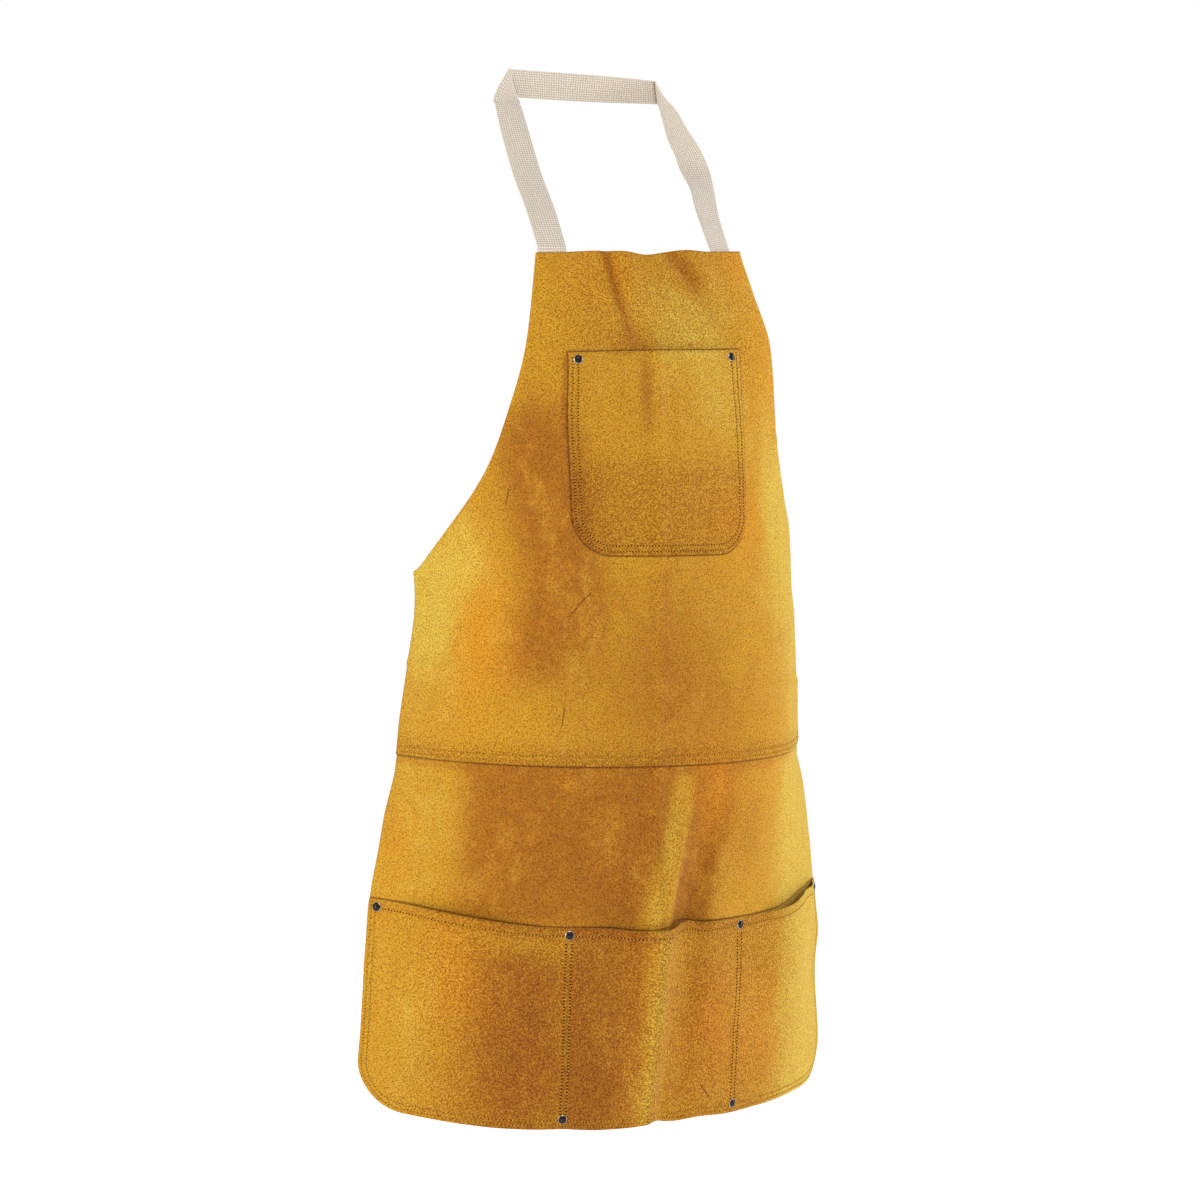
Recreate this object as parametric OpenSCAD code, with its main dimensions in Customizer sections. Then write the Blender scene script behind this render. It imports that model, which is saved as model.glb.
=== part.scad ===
// Split-leather bib apron: two leather panels lapped and double-stitched, a riveted chest pocket,
// a riveted three-compartment skirt pocket and a webbing neck strap.
// Origin: middle of the neck strap where it rests on the nape. +Z up, wearer faces -Y, +X is the wearer's left.
// Every flat piece is laid out by (t, s): t = length down from the bib's top edge, s = width from the centre line.

/* [Leather] */
// Length of the apron, bib top to hem
apron_len = 914; // [860:1:960]
// Half of the apron's full width
half_w = 305; // [290:1:320]
// Half of the bib's top edge
bib_half_w = 127; // [115:1:140]
// Length down to the waist corners
waist_t = 345; // [320:1:370]
// Length down to the upper panel's lower edge
seam_t = 540; // [500:1:580]
// Width of leather lapped under that edge
lap = 16; // [12:1:22]
// Radius of the hem corners
hem_r = 52; // [40:1:70]
// Leather thickness
leather_t = 1.3; // [1:0.1:1.6]

/* [Pockets] */
// Chest pocket: half width
chest_half_w = 105; // [90:1:110]
// Chest pocket: length down to its mouth
chest_top_t = 107; // [95:1:120]
// Chest pocket: depth
chest_depth = 215; // [190:1:230]
// Chest pocket: radius of its lower corners
chest_r = 42; // [30:1:50]
// Skirt pocket: length down to its mouth
skirt_mouth_t = 705; // [680:1:730]
// Distance of the two dividers from the centre line
divider_s = 102; // [95:1:110]
// How far an empty pocket stands open
gape = 12; // [11:0.5:13]

/* [Webbing] */
// Strap width
strap_w = 30; // [25:1:34]
// Strap thickness
strap_t = 1.9; // [1.6:0.1:2.2]
// Length of strap sewn behind the leather
sewn_len = 30; // [25:1:36]

/* [Rivets] */
// Cap diameter
cap_d = 9.5; // [8.5:0.5:10]
// Cap height
cap_h = 2.4; // [2:0.1:2.6]
// Shank diameter
shank_d = 3; // [2.5:0.1:3.2]

/* [Hidden] */

gold = "#c8912d";
cream = "#e1d2be";
yarn = "#d9a43c";
nickel = "#b9bcc0";

// how the worn apron drapes: front arc, side arcs by length down, lean, lift of the sides
top_y = -152;
top_z = -194;
front_r = 330;
front_s = 102;
side_r = [[0, 255], [waist_t, 190], [seam_t + 20, 232], [skirt_mouth_t + 55, 420], [apron_len, 430]];
chest_swell = 170;
hem_return = 178;
side_lift = 20;
side_tilt = 9;

// layers, measured outwards from the upper panel's inner face
air = 0.05;
skirt_in = -0.5 - leather_t;
chest_in = leather_t + 0.25;
pocket_in = -0.5 + air;

// seams
edge_row = 4;
row_gap = 6;
thread_w = 0.8;
thread_h = 0.5;
rivet_inset = 10;
rivet_drop = 8;
strap_s = [-110, 94];
waist_tie_t = waist_t + 4;
tie_w = 25;
tie_air = 0.35;

function front_y(t) = let (u = t / apron_len) top_y - chest_swell * u + hem_return * u * u;
function front_turn() = front_s / front_r * 180 / PI;
function turn(t, s) = sign(s) * (abs(s) <= front_s ? abs(s) / front_r * 180 / PI
    : front_turn() + (abs(s) - front_s) / lookup(t, side_r) * 180 / PI);
function across(t, s) = let (a = abs(turn(t, s)), r = lookup(t, side_r), f = front_turn())
    abs(s) <= front_s ? front_r * sin(a) : front_r * sin(f) + r * (sin(a) - sin(f));
function back(t, s) = let (a = abs(turn(t, s)), r = lookup(t, side_r), f = front_turn())
    abs(s) <= front_s ? front_r * (1 - cos(a)) : front_r * (1 - cos(f)) + r * (cos(f) - cos(a));
function lift(s) = let (q = s / half_w) side_lift * q * q + side_tilt * q;
function outward(t, s) = [sin(turn(t, s)), -cos(turn(t, s)), 0];
function place(t, s, d) =
    [sign(s) * across(t, s), front_y(t) + back(t, s), top_z - t + lift(s)] + d * outward(t, s);

// half width of each outline at length t
function armhole(u) = 0.33 * u + 0.67 * pow(u, 4);
function rounded(half, r, left) = left >= r ? half : half - r + sqrt(max(0, r * r - pow(r - left, 2)));
function panel_w(t) = t < waist_t ? bib_half_w + (half_w - 3 - bib_half_w) * armhole(t / waist_t)
    : rounded(half_w, hem_r, apron_len - t);
function chest_w(t) = rounded(chest_half_w, chest_r, chest_top_t + chest_depth - t);

// how far the pocket leather stands off its panel, flat for a stitched margin all round
function dome(x) = abs(x) >= 1 ? 0 : pow(1 - x * x, 2);
function rise(x) = let (c = min(1, max(0, x))) c * c * (3 - 2 * c);
margin = 15;
function chest_gape(t, s) = gape * dome(s / (chest_half_w - margin))
    * rise((chest_top_t + chest_depth - margin - t) / (chest_depth * 0.8));
function bay(s) = abs(s) < divider_s ? s / (divider_s - margin)
    : (abs(s) - (divider_s + half_w) / 2) / ((half_w - divider_s) / 2 - margin);
function skirt_gape(t, s) = gape * dome(bay(s)) * rise((apron_len - margin - t) / 150);

// rows of the sheets: the lapped strip and the pocket share theirs, so that layers stay parallel
function steps(a, b, n) = [for (i = [0:n]) a + (b - a) * i / n];
function past(list, t) = [for (v = list) if (v > t + 0.01) v];
function corner_steps(a, b, n) = [for (i = [1:n]) a + (b - a) * sin(90 * i / n)];
lap_rows = [seam_t - lap, seam_t];
pocket_rows = concat(steps(skirt_mouth_t, skirt_mouth_t + 55, 2),
    past(steps(skirt_mouth_t + 55, apron_len - hem_r, 4), skirt_mouth_t + 55),
    corner_steps(apron_len - hem_r, apron_len, 5));
skirt_rows = concat(lap_rows, steps(seam_t + 20, skirt_mouth_t, 5), past(pocket_rows, skirt_mouth_t));
bib_rows = concat(steps(0, waist_t, 12), past(steps(waist_t, seam_t - lap, 6), waist_t), [seam_t]);
chest_low = chest_top_t + chest_depth;
chest_rows = concat(steps(chest_top_t, chest_low - chest_r, 7), corner_steps(chest_low - chest_r, chest_low, 5));

// closed grid solid: rows of points on the inner face and on the outer face
module grid_solid(inner, outer) {
    rows = len(inner);
    cols = len(inner[0]);
    size = rows * cols;
    pts = concat([for (r = inner) each r], [for (r = outer) each r]);
    rim = concat([for (j = [0:cols - 1]) j], [for (i = [1:rows - 1]) i * cols + cols - 1],
        [for (j = [cols - 2:-1:0]) (rows - 1) * cols + j], [for (i = [rows - 2:-1:1]) i * cols]);
    skin = [for (i = [0:rows - 2], j = [0:cols - 2]) let (a = i * cols + j)
        each [[a, a + 1, a + cols + 1], [a, a + cols + 1, a + cols]]];
    faces = concat([for (f = skin) [f[0], f[1], f[2]]],
        [for (f = skin) [f[0] + size, f[2] + size, f[1] + size]],
        [for (k = [0:len(rim) - 1]) let (a = rim[k], b = rim[(k + 1) % len(rim)])
            each [[a, a + size, b + size], [a, b + size, b]]]);
    polyhedron(pts, faces);
}

// leather cut to an outline: width(t) is a function, stand(t, s) its distance from the inner layer
module leather(ts, cols, inner, width, stand) {
    us = steps(-1, 1, cols);
    color(gold) grid_solid(
        [for (t = ts) [for (u = us) let (s = u * width(t)) place(t, s, inner + stand(t, s))]],
        [for (t = ts) [for (u = us) let (s = u * width(t)) place(t, s, inner + leather_t + stand(t, s))]]);
}

// flat webbing laid on the drape behind the leather
module webbing_patch(t0, t1, s0, s1, inner, thick) {
    color(cream) grid_solid([for (t = [t0, t1]) [for (s = steps(s0, s1, 4)) place(t, s, inner)]],
        [for (t = [t0, t1]) [for (s = steps(s0, s1, 4)) place(t, s, inner + thick)]]);
}

// one row of stitching: a low thread that follows a list of [t, s, d]
module stitch_row(path) {
    n = len(path);
    mid = [for (p = path) place(p[0], p[1], p[2] + air)];
    out = [for (p = path) outward(p[0], p[1])];
    side = [for (i = [0:n - 1]) let (v = cross(out[i], mid[min(i + 1, n - 1)] - mid[max(i - 1, 0)]))
        v / norm(v) * thread_w / 2];
    color(yarn) grid_solid([for (i = [0:n - 1]) [mid[i] + side[i], mid[i] - side[i]]],
        [for (i = [0:n - 1]) [mid[i] + side[i] + out[i] * thread_h, mid[i] - side[i] + out[i] * thread_h]]);
}

// stitched box that holds a strap end: a closed rectangle drawn as its four sides
module tack(t0, t1, s0, s1) {
    d = leather_t + 0.1;
    stitch_row([for (s = steps(s0, s1, 4)) [t0, s, d]]);
    stitch_row([for (s = steps(s0, s1, 4)) [t1, s, d]]);
    stitch_row([for (t = steps(t0 + 1.5, t1 - 1.5, 2)) [t, s0, d]]);
    stitch_row([for (t = steps(t0 + 1.5, t1 - 1.5, 2)) [t, s1, d]]);
}

// U-shaped row inside a rounded outline: down one side, round the bottom, up the other
function u_path(half, r, top, bottom, inset, n) = let (h = half - inset, c = max(r - inset, 1), low = bottom - inset)
    concat([for (t = steps(top, low - c, n)) [t, -h]],
        [for (a = [15:15:90]) [low - c + c * sin(a), -h + c - c * cos(a)]],
        [for (s = steps(-h + c, h - c, n + 2)) if (abs(s) < h - c) [low, s]],
        [for (a = [90:-15:15]) [low - c + c * sin(a), h - c + c * cos(a)]],
        [for (t = steps(low - c, top, n)) [t, h]]);

// rivet parts stand on the leather with their axis along the outward direction
module on_leather(t, s, d) {
    translate(place(t, s, d)) rotate([90, 0, turn(t, s)]) children();
}
module rivet_cap() {
    rim_h = 0.5;
    dome_r = (pow(cap_d / 2, 2) + pow(cap_h - rim_h, 2)) / (2 * (cap_h - rim_h));
    color(nickel) difference() {
        union() {
            cylinder(h = rim_h, d = cap_d, $fn = 48);
            intersection() {
                translate([0, 0, rim_h]) cylinder(h = cap_h, d = cap_d, $fn = 48);
                translate([0, 0, cap_h - dome_r]) sphere(r = dome_r, $fn = 64);
            }
        }
        translate([0, 0, -1]) cylinder(h = 2, d = shank_d + 0.1, $fn = 32);
    }
}
module rivet_post(length) {
    base_t = 0.8;
    color(nickel) {
        translate([0, 0, -length]) cylinder(h = length + 0.9, d = shank_d, $fn = 32);
        translate([0, 0, -length - base_t]) cylinder(h = base_t, d = cap_d - 1.5, $fn = 48);
    }
}

// neck strap: centre points (shares of its span) and width directions, from the left sewn end over the nape
// to the right sewn end
strap_line = [
    [[-1, 0, 0], [1, -0.34, 0]], [[-1.01, 0.2, 0.22], [1, -0.38, 0]], [[-1.01, 0.47, 0.45], [1, -0.42, 0]],
    [[-1, 0.7, 0.69], [1, -0.42, -0.05]], [[-0.97, 0.87, 0.89], [0.95, -0.3, -0.3]],
    [[-0.9, 0.96, 1.01], [0.5, 0.1, -0.8]], [[-0.79, 0.99, 1.035], [0.12, 0.3, -1]],
    [[-0.55, 1, 1.04], [0.02, 0.4, -1]], [[-0.28, 1, 1.04], [0, 0.5, -1]], [[0, 1, 1.04], [0, 0.6, -1]],
    [[0.28, 1, 1.04], [0, 0.7, -1]], [[0.55, 1, 1.04], [0, 0.85, -1]], [[0.76, 0.985, 1.03], [-0.05, 0.9, -0.9]],
    [[0.88, 0.95, 0.98], [-0.35, 0.2, -0.9]], [[0.94, 0.82, 0.88], [-0.75, -0.4, -0.45]],
    [[0.965, 0.64, 0.7], [-0.95, -0.38, -0.15]], [[0.98, 0.42, 0.45], [-1, -0.18, -0.02]],
    [[1, 0.19, 0.22], [-1, -0.26, 0]], [[1, 0, 0], [-1, -0.32, 0]]];
strap_gap = 10;

module neck_strap() {
    low = [for (s = strap_s) place(-strap_gap, s, -air - strap_t / 2)];
    all = strap_line;
    centre = [for (p = all) let (e = p[0][0] < 0 ? low[0] : low[1])
        [abs(e[0]) * p[0][0], e[1] * (1 - p[0][1]), e[2] * (1 - p[0][2])]];
    n = len(centre);
    wide = [for (p = all) p[1] / norm(p[1])];
    run = [for (i = [0:n - 1]) let (v = centre[min(i + 1, n - 1)] - centre[max(i - 1, 0)]) v / norm(v)];
    flat = [for (i = [0:n - 1]) let (v = cross(wide[i], run[i])) v / norm(v)];
    level = [for (i = [0:n - 1]) let (v = cross(run[i], flat[i])) v / norm(v)];
    color(cream) grid_solid(
        [for (i = [0:n - 1]) [centre[i] - level[i] * strap_w / 2 - flat[i] * strap_t / 2,
            centre[i] + level[i] * strap_w / 2 - flat[i] * strap_t / 2]],
        [for (i = [0:n - 1]) [centre[i] - level[i] * strap_w / 2 + flat[i] * strap_t / 2,
            centre[i] + level[i] * strap_w / 2 + flat[i] * strap_t / 2]]);
}

no_stand = function (t, s) 0;
panel = function (t) panel_w(t);
chest_outline = function (t) chest_w(t);
chest_stand = function (t, s) chest_gape(t, s);
skirt_stand = function (t, s) skirt_gape(t, s);

module bib_panel() { leather(bib_rows, 32, 0, panel, no_stand); }
module skirt_panel() { leather(skirt_rows, 44, skirt_in, panel, no_stand); }
module strap_end(i) {
    webbing_patch(1, sewn_len, strap_s[i] - strap_w / 2, strap_s[i] + strap_w / 2, -air - strap_t, strap_t);
}
module strap_end_left() { strap_end(0); }
module strap_end_right() { strap_end(1); }
module strap_tack(i) { tack(5, sewn_len - 7, strap_s[i] - strap_w / 2 + 3, strap_s[i] + strap_w / 2 - 3); }
module strap_tack_left() { strap_tack(0); }
module strap_tack_right() { strap_tack(1); }
module waist_tie_end(s0, s1) {
    webbing_patch(waist_tie_t, waist_tie_t + tie_w, s0, s1, -tie_air - strap_t, strap_t);
}
module waist_tie_end_left() { waist_tie_end(-half_w + 4, -half_w + 4 + sewn_len); }
module waist_tie_end_right() { waist_tie_end(half_w - 4 - sewn_len, half_w - 4); }
module waist_tack(s0, s1) { tack(waist_tie_t + 3, waist_tie_t + tie_w - 3, s0, s1); }
module waist_tack_left() { waist_tack(-half_w + 7, -half_w + sewn_len - 1); }
module waist_tack_right() { waist_tack(half_w - sewn_len + 1, half_w - 7); }

module chest_pocket() { leather(chest_rows, 18, chest_in, chest_outline, chest_stand); }
module chest_stitch(inset) {
    stitch_row([for (p = u_path(chest_half_w, chest_r, chest_top_t + 2, chest_top_t + chest_depth, inset, 8))
        [p[0], p[1], chest_in + leather_t + 0.15]]);
}
module chest_pocket_outer_stitch() { chest_stitch(edge_row); }
module chest_pocket_inner_stitch() { chest_stitch(edge_row + row_gap); }
chest_rivets = [for (side = [-1, 1]) [chest_top_t + rivet_drop, side * (chest_half_w - rivet_inset)]];
module chest_rivet_caps() {
    for (p = chest_rivets) on_leather(p[0], p[1], chest_in + leather_t + 0.15) rivet_cap();
}
module chest_rivet_posts() {
    for (p = chest_rivets) on_leather(p[0], p[1], chest_in + leather_t + 0.15)
        rivet_post(chest_in + leather_t + 0.25);
}

module seam_stitch(up) {
    stitch_row([for (s = steps(-half_w + 3, half_w - 3, 26)) [seam_t - up, s, leather_t + 0.15]]);
}
module seam_upper_stitch() { seam_stitch(edge_row + row_gap); }
module seam_lower_stitch() { seam_stitch(edge_row); }

module skirt_pocket() { leather(pocket_rows, 44, pocket_in, panel, skirt_stand); }
pocket_face = pocket_in + leather_t + 0.15;
module pocket_mouth_stitch() {
    stitch_row([for (s = steps(-half_w + 3, half_w - 3, 48)) [skirt_mouth_t + 9, s,
        pocket_face + 0.2 + skirt_gape(skirt_mouth_t, s)]]);
}
module border_stitch(inset) {
    stitch_row([for (p = u_path(half_w, hem_r, skirt_mouth_t + 2, apron_len, inset, 10)) [p[0], p[1], pocket_face]]);
}
module pocket_border_outer_stitch() { border_stitch(edge_row); }
module pocket_border_inner_stitch() { border_stitch(edge_row + row_gap - 1); }
module divider_stitch(side) {
    for (k = [-1, 1]) stitch_row([for (t = steps(skirt_mouth_t + 14, apron_len - edge_row - row_gap - 2, 8))
        [t, side * divider_s + k * row_gap / 2, pocket_face]]);
}
module divider_stitch_left() { divider_stitch(-1); }
module divider_stitch_right() { divider_stitch(1); }
mouth_rivets = [for (s = [-half_w + rivet_inset, -divider_s, divider_s, half_w - rivet_inset])
    [skirt_mouth_t + rivet_drop, s]];
hem_rivets = [for (s = [-divider_s, divider_s]) [apron_len - rivet_inset, s]];
module skirt_caps(spots) { for (p = spots) on_leather(p[0], p[1], pocket_face) rivet_cap(); }
module skirt_posts(spots) {
    for (p = spots) on_leather(p[0], p[1], pocket_face) rivet_post(pocket_face - skirt_in + 0.1);
}
module mouth_rivet_caps() { skirt_caps(mouth_rivets); }
module mouth_rivet_posts() { skirt_posts(mouth_rivets); }
module hem_rivet_caps() { skirt_caps(hem_rivets); }
module hem_rivet_posts() { skirt_posts(hem_rivets); }

neck_strap();
bib_panel();
strap_end_left();
strap_end_right();
strap_tack_left();
strap_tack_right();
waist_tie_end_left();
waist_tie_end_right();
waist_tack_left();
waist_tack_right();
chest_pocket();
chest_pocket_outer_stitch();
chest_pocket_inner_stitch();
chest_rivet_caps();
chest_rivet_posts();
seam_upper_stitch();
seam_lower_stitch();
skirt_panel();
skirt_pocket();
pocket_mouth_stitch();
pocket_border_outer_stitch();
pocket_border_inner_stitch();
divider_stitch_left();
divider_stitch_right();
mouth_rivet_caps();
mouth_rivet_posts();
hem_rivet_caps();
hem_rivet_posts();
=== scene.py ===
"""Split-leather bib apron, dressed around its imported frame.

Every leather piece is laid out flat by (t, s) in millimetres: t down from the bib's top edge, s across
from the centre line. drape() wraps that flat layout round the wearer's front, and folds() adds the lie of
the hide.
"""
import math

import bpy
import numpy as np
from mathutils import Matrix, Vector


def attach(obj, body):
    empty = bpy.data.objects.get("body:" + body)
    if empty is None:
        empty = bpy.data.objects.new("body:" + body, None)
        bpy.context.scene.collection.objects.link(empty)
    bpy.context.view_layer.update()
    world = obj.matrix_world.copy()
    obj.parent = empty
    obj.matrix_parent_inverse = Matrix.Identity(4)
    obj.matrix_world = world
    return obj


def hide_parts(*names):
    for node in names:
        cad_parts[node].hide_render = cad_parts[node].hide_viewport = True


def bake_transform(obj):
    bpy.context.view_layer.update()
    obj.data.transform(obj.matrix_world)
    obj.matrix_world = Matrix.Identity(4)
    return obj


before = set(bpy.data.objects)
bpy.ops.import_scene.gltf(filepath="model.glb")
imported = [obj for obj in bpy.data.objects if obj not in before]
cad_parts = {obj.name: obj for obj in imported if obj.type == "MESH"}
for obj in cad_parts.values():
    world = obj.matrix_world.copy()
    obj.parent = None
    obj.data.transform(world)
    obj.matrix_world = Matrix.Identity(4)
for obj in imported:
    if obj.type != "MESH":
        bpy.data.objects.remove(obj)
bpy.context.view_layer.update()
MM = 0.001
rng = np.random.default_rng(7)

# ---------------------------------------------------------------- the cut and the drape, in millimetres
APRON_LEN, HALF_W, BIB_HALF = 914.0, 305.0, 127.0
WAIST_T, SEAM_T, LAP, HEM_R = 345.0, 540.0, 16.0, 52.0
LEATHER, BODY_GAP = 1.3, 0.5
CHEST_HALF, CHEST_TOP, CHEST_DEEP, CHEST_R = 105.0, 107.0, 215.0, 42.0
MOUTH_T, DIVIDER_S = 705.0, 102.0
TOP_Y, TOP_Z = -152.0, -194.0
# The wearer: a broad curve in front out to FRONT_S, then side curves that are tightest at the waist.
FRONT_R, FRONT_S = 330.0, 102.0
SIDE_T = (0.0, WAIST_T, SEAM_T + 20, MOUTH_T + 55, APRON_LEN)
SIDE_R = (255.0, 190.0, 232.0, 420.0, 430.0)
SWELL, HEM_RETURN, SIDE_LIFT, SIDE_TILT = 170.0, 178.0, 20.0, 9.0
EDGE_ROW, ROW_GAP, RIVET_INSET, RIVET_DROP = 4.0, 6.0, 10.0, 8.0
STRAP_S, STRAP_W, STRAP_THICK, SEWN = (-110.0, 94.0), 30.0, 1.9, 30.0
TIE_T, TIE_W = WAIST_T + 4, 25.0
PITCH = 3.4

CHEST_RIVETS = [(CHEST_TOP + RIVET_DROP, k * (CHEST_HALF - RIVET_INSET)) for k in (-1, 1)]
MOUTH_RIVETS = [(MOUTH_T + RIVET_DROP, s)
                for s in (RIVET_INSET - HALF_W, -DIVIDER_S, DIVIDER_S, HALF_W - RIVET_INSET)]
HEM_RIVETS = [(APRON_LEN - RIVET_INSET, k * DIVIDER_S) for k in (-1, 1)]
RIVETS = CHEST_RIVETS + MOUTH_RIVETS + HEM_RIVETS


def smooth(low, high, x):
    """0 below low, 1 above high, with an easy curve between."""
    u = np.clip((x - low) / (high - low), 0, 1)
    return u * u * (3 - 2 * u)


def bell(x, width):
    return np.exp(-(x / width) ** 2)


def turn(t, s):
    """How far the leather has turned from facing front, in radians."""
    a = np.abs(s)
    side = FRONT_S / FRONT_R + (a - FRONT_S) / np.interp(t, SIDE_T, SIDE_R)
    return np.sign(s) * np.where(a <= FRONT_S, a / FRONT_R, side)


def drape(t, s, off):
    """A point of the worn apron, off millimetres outwards from the upper panel's inner face."""
    a, r, f = np.abs(turn(t, s)), np.interp(t, SIDE_T, SIDE_R), FRONT_S / FRONT_R
    front = np.abs(s) <= FRONT_S
    x = np.where(front, FRONT_R * np.sin(a), FRONT_R * math.sin(f) + r * (np.sin(a) - math.sin(f)))
    back = np.where(front, FRONT_R * (1 - np.cos(a)),
                    FRONT_R * (1 - math.cos(f)) + r * (math.cos(f) - np.cos(a)))
    u, q, a = t / APRON_LEN, s / HALF_W, np.sign(s) * a
    y = TOP_Y - SWELL * u + HEM_RETURN * u * u + back
    z = TOP_Z - t + SIDE_LIFT * q * q + SIDE_TILT * q
    return np.stack([np.sign(s) * x + off * np.sin(a), y - off * np.cos(a), z + 0 * off], -1)


def ripple(t, s, scale, seed):
    """Soft seeded waves of the hide, between about -1 and 1."""
    waves = np.random.default_rng(seed)
    total = 0
    for _ in range(7):
        angle, phase, k = waves.uniform(0, math.pi), waves.uniform(0, 2 * math.pi), waves.uniform(0.6, 1.5)
        along = t * math.sin(angle) + s * math.cos(angle)
        total = total + np.sin(along * k / scale * 2 * math.pi + phase)
    return total / 4


def calm(t, s):
    """1 on open leather, 0 at each rivet, so that the hide lies flat under a cap."""
    keep, flat_reach = 1.0, 28.0
    for rivet_t, rivet_s in RIVETS:
        keep = keep * (1 - bell(np.hypot(t - rivet_t, s - rivet_s), flat_reach))
    return keep


def crest_s(t):
    """Where the skirt's main fold runs: slanting in from the seam to the pocket mouth, then straight."""
    return 22 - 26 * smooth(545, 720, t) - 0.03 * (t - 720)


def folds(t, s):
    """How far the hide stands out from the plain drape: pleats, pressed creases and soft waves."""
    pleat_a = -4.6 * bell(s + 52 - 0.20 * t, 6.5) * smooth(110, 30, t)
    pleat_b = 4.4 * bell(s + 34 - 0.22 * t, 12) * smooth(115, 15, t)
    pleat_c = -4.4 * bell(s - 18 - 0.75 * t, 10) * smooth(75, 20, t)
    pleat_d = 2.6 * bell(s - 52 - 0.3 * t, 16) * smooth(80, 10, t)
    pressed = 3.2 * bell(s + 6 + 0.008 * t, 5.0) * smooth(70, 130, t)
    dent = -1.8 * bell(s + 18, 9) * bell(t - 150, 60)
    across = 1.4 * bell(t - 458 - 0.05 * s, 4) + 0.9 * bell(t - 206, 6) * smooth(120, 160, np.abs(s))
    crest = crest_s(t)
    rising = smooth(560, 690, t)
    ridge = 10.5 * np.where(s < crest, bell(s - crest, 19), bell(s - crest, 11)) * rising
    furrow = -8.5 * bell(s - crest - 34, 19) * smooth(550, 660, t) * (1 - 0.7 * smooth(760, 900, t))
    hollow = -3.5 * bell(s - crest + 42, 26) * rising
    waves = 3.2 * ripple(t, s, 330, 3) + 1.1 * ripple(t, s, 120, 5) + 0.45 * ripple(t, s, 42, 11)
    flare = 3.0 * np.sin(s / 46.0 + t / 240.0) * smooth(600, 914, t) * smooth(60, 130, np.abs(s))
    wrinkles = 0.9 * bell(t - 420 - 0.5 * (s + 130), 5) * bell(s + 135, 40)
    wrinkles = wrinkles + 0.8 * bell(t - 640 + 0.25 * (s + 120), 5) * bell(s + 120, 50)
    wrinkles = wrinkles + 0.7 * bell(t - 605 - 0.2 * (s + 80), 4) * bell(s + 90, 40)
    steady = 0.35 + 0.65 * smooth(0, 60, t)
    bib = pleat_a + pleat_b + pleat_c + pleat_d + pressed + dent + across
    skirt = ridge + furrow + hollow
    return (bib + skirt + wrinkles + (waves + flare) * steady) * calm(t, s)


def sag(t, s):
    """Up-and-down unevenness: the bib pulled level by the strap, dipping edges and the notch in the hem."""
    level = 0.046 * s * (1 - smooth(0, 450, t))
    top = (-3.0 * bell(s + 6, 16) + 1.6 * bell(s + 62, 26) + 1.8 * bell(s - 40, 18)) * smooth(60, 0, t)
    hem = (4.5 * bell(s + 2, 17) - 3.0 * bell(s + 70, 60) + 2.0 * bell(s - 60, 30)) * smooth(850, 914, t)
    corner = 12.0 * smooth(-150, -300, s) * smooth(800, 900, t)
    ends = (18.0 * smooth(-110, -300, s) + 10.0 * smooth(170, 290, s)) * bell(t - MOUTH_T, 95)
    mouth = -5.0 * bell(s + 22, 30) * bell(t - MOUTH_T, 60) + 4.0 * bell(s - 26, 14) * bell(t - MOUTH_T, 30)
    return level + corner + ends + (top + hem + mouth) * calm(t, s)


def sway(t, s):
    """Sideways shift: the skirt's sides hang off centre, the waist corner tucks in, the bib flares."""
    skirt = -9.5 * smooth(530, 730, t) * smooth(110, 260, np.abs(s))
    skirt = skirt + 7.0 * smooth(730, 914, t) * smooth(240, 100, np.abs(s))
    skirt = skirt + 15.0 * smooth(790, 905, t) * smooth(110, 280, s)
    waist = 13.0 * bell(t - 375, 105) * smooth(-190, -300, s)
    arm = -5.0 * bell(t - 180, 60) * smooth(-90, -150, s)
    flare = 13.0 * bell(t - 105, 62) * smooth(88, 138, s) - 7.0 * bell(t - 255, 60) * smooth(90, 180, s)
    corner = -3.5 * smooth(40, 0, t) * smooth(60, 120, s)
    pocket_top = (4.5 * bell(s + 100, 36) - 3.0 * bell(s - 100, 30)) * bell(t - 115, 50)
    return skirt + waist + arm + flare + corner + pocket_top


def skin(t, s, off):
    """Final place of (t, s) on a layer, in metres."""
    t, s = np.broadcast_arrays(np.asarray(t, float), np.asarray(s, float))
    p = drape(t, s, off + folds(t, s))
    p[..., 0] += sway(t, s)
    p[..., 2] += sag(t, s)
    return p * MM


def outward(t, s, off_at):
    """Unit outward direction of a layer whose offset is off_at(t, s)."""
    near = 1.5
    down = skin(t + near, s, off_at(t + near, s)) - skin(t - near, s, off_at(t - near, s))
    along = skin(t, s + near, off_at(t, s + near)) - skin(t, s - near, off_at(t, s - near))
    n = np.cross(down, along)
    return n / np.linalg.norm(n, axis=-1, keepdims=True)


# ---------------------------------------------------------------- outlines
def rounded(half, r, left):
    """Half width of an outline with rounded lower corners, where left is the length still to go."""
    left = np.asarray(left, float)
    return np.where(left >= r, half, half - r + np.sqrt(np.maximum(0, r * r - (r - left) ** 2)))


def panel_w(t):
    """Half width of the apron: arm curves down to the waist, then straight sides to the rounded hem."""
    u = t / WAIST_T
    bib = BIB_HALF + (HALF_W - 3 - BIB_HALF) * (0.33 * u + 0.67 * u ** 4)
    return np.where(t < WAIST_T, bib, rounded(HALF_W, HEM_R, APRON_LEN - t))


def chest_w(t):
    return rounded(CHEST_HALF, CHEST_R, CHEST_TOP + CHEST_DEEP - t)


def rows(start, end, step, corner=0.0):
    """Row positions from start to end, drawn closer together round a rounded corner."""
    straight = np.linspace(start, end - corner, max(2, round((end - corner - start) / step) + 1))
    if not corner:
        return straight
    return np.concatenate([straight, end - corner + corner * np.sin(np.linspace(0, math.pi / 2, 15)[1:])])


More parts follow.
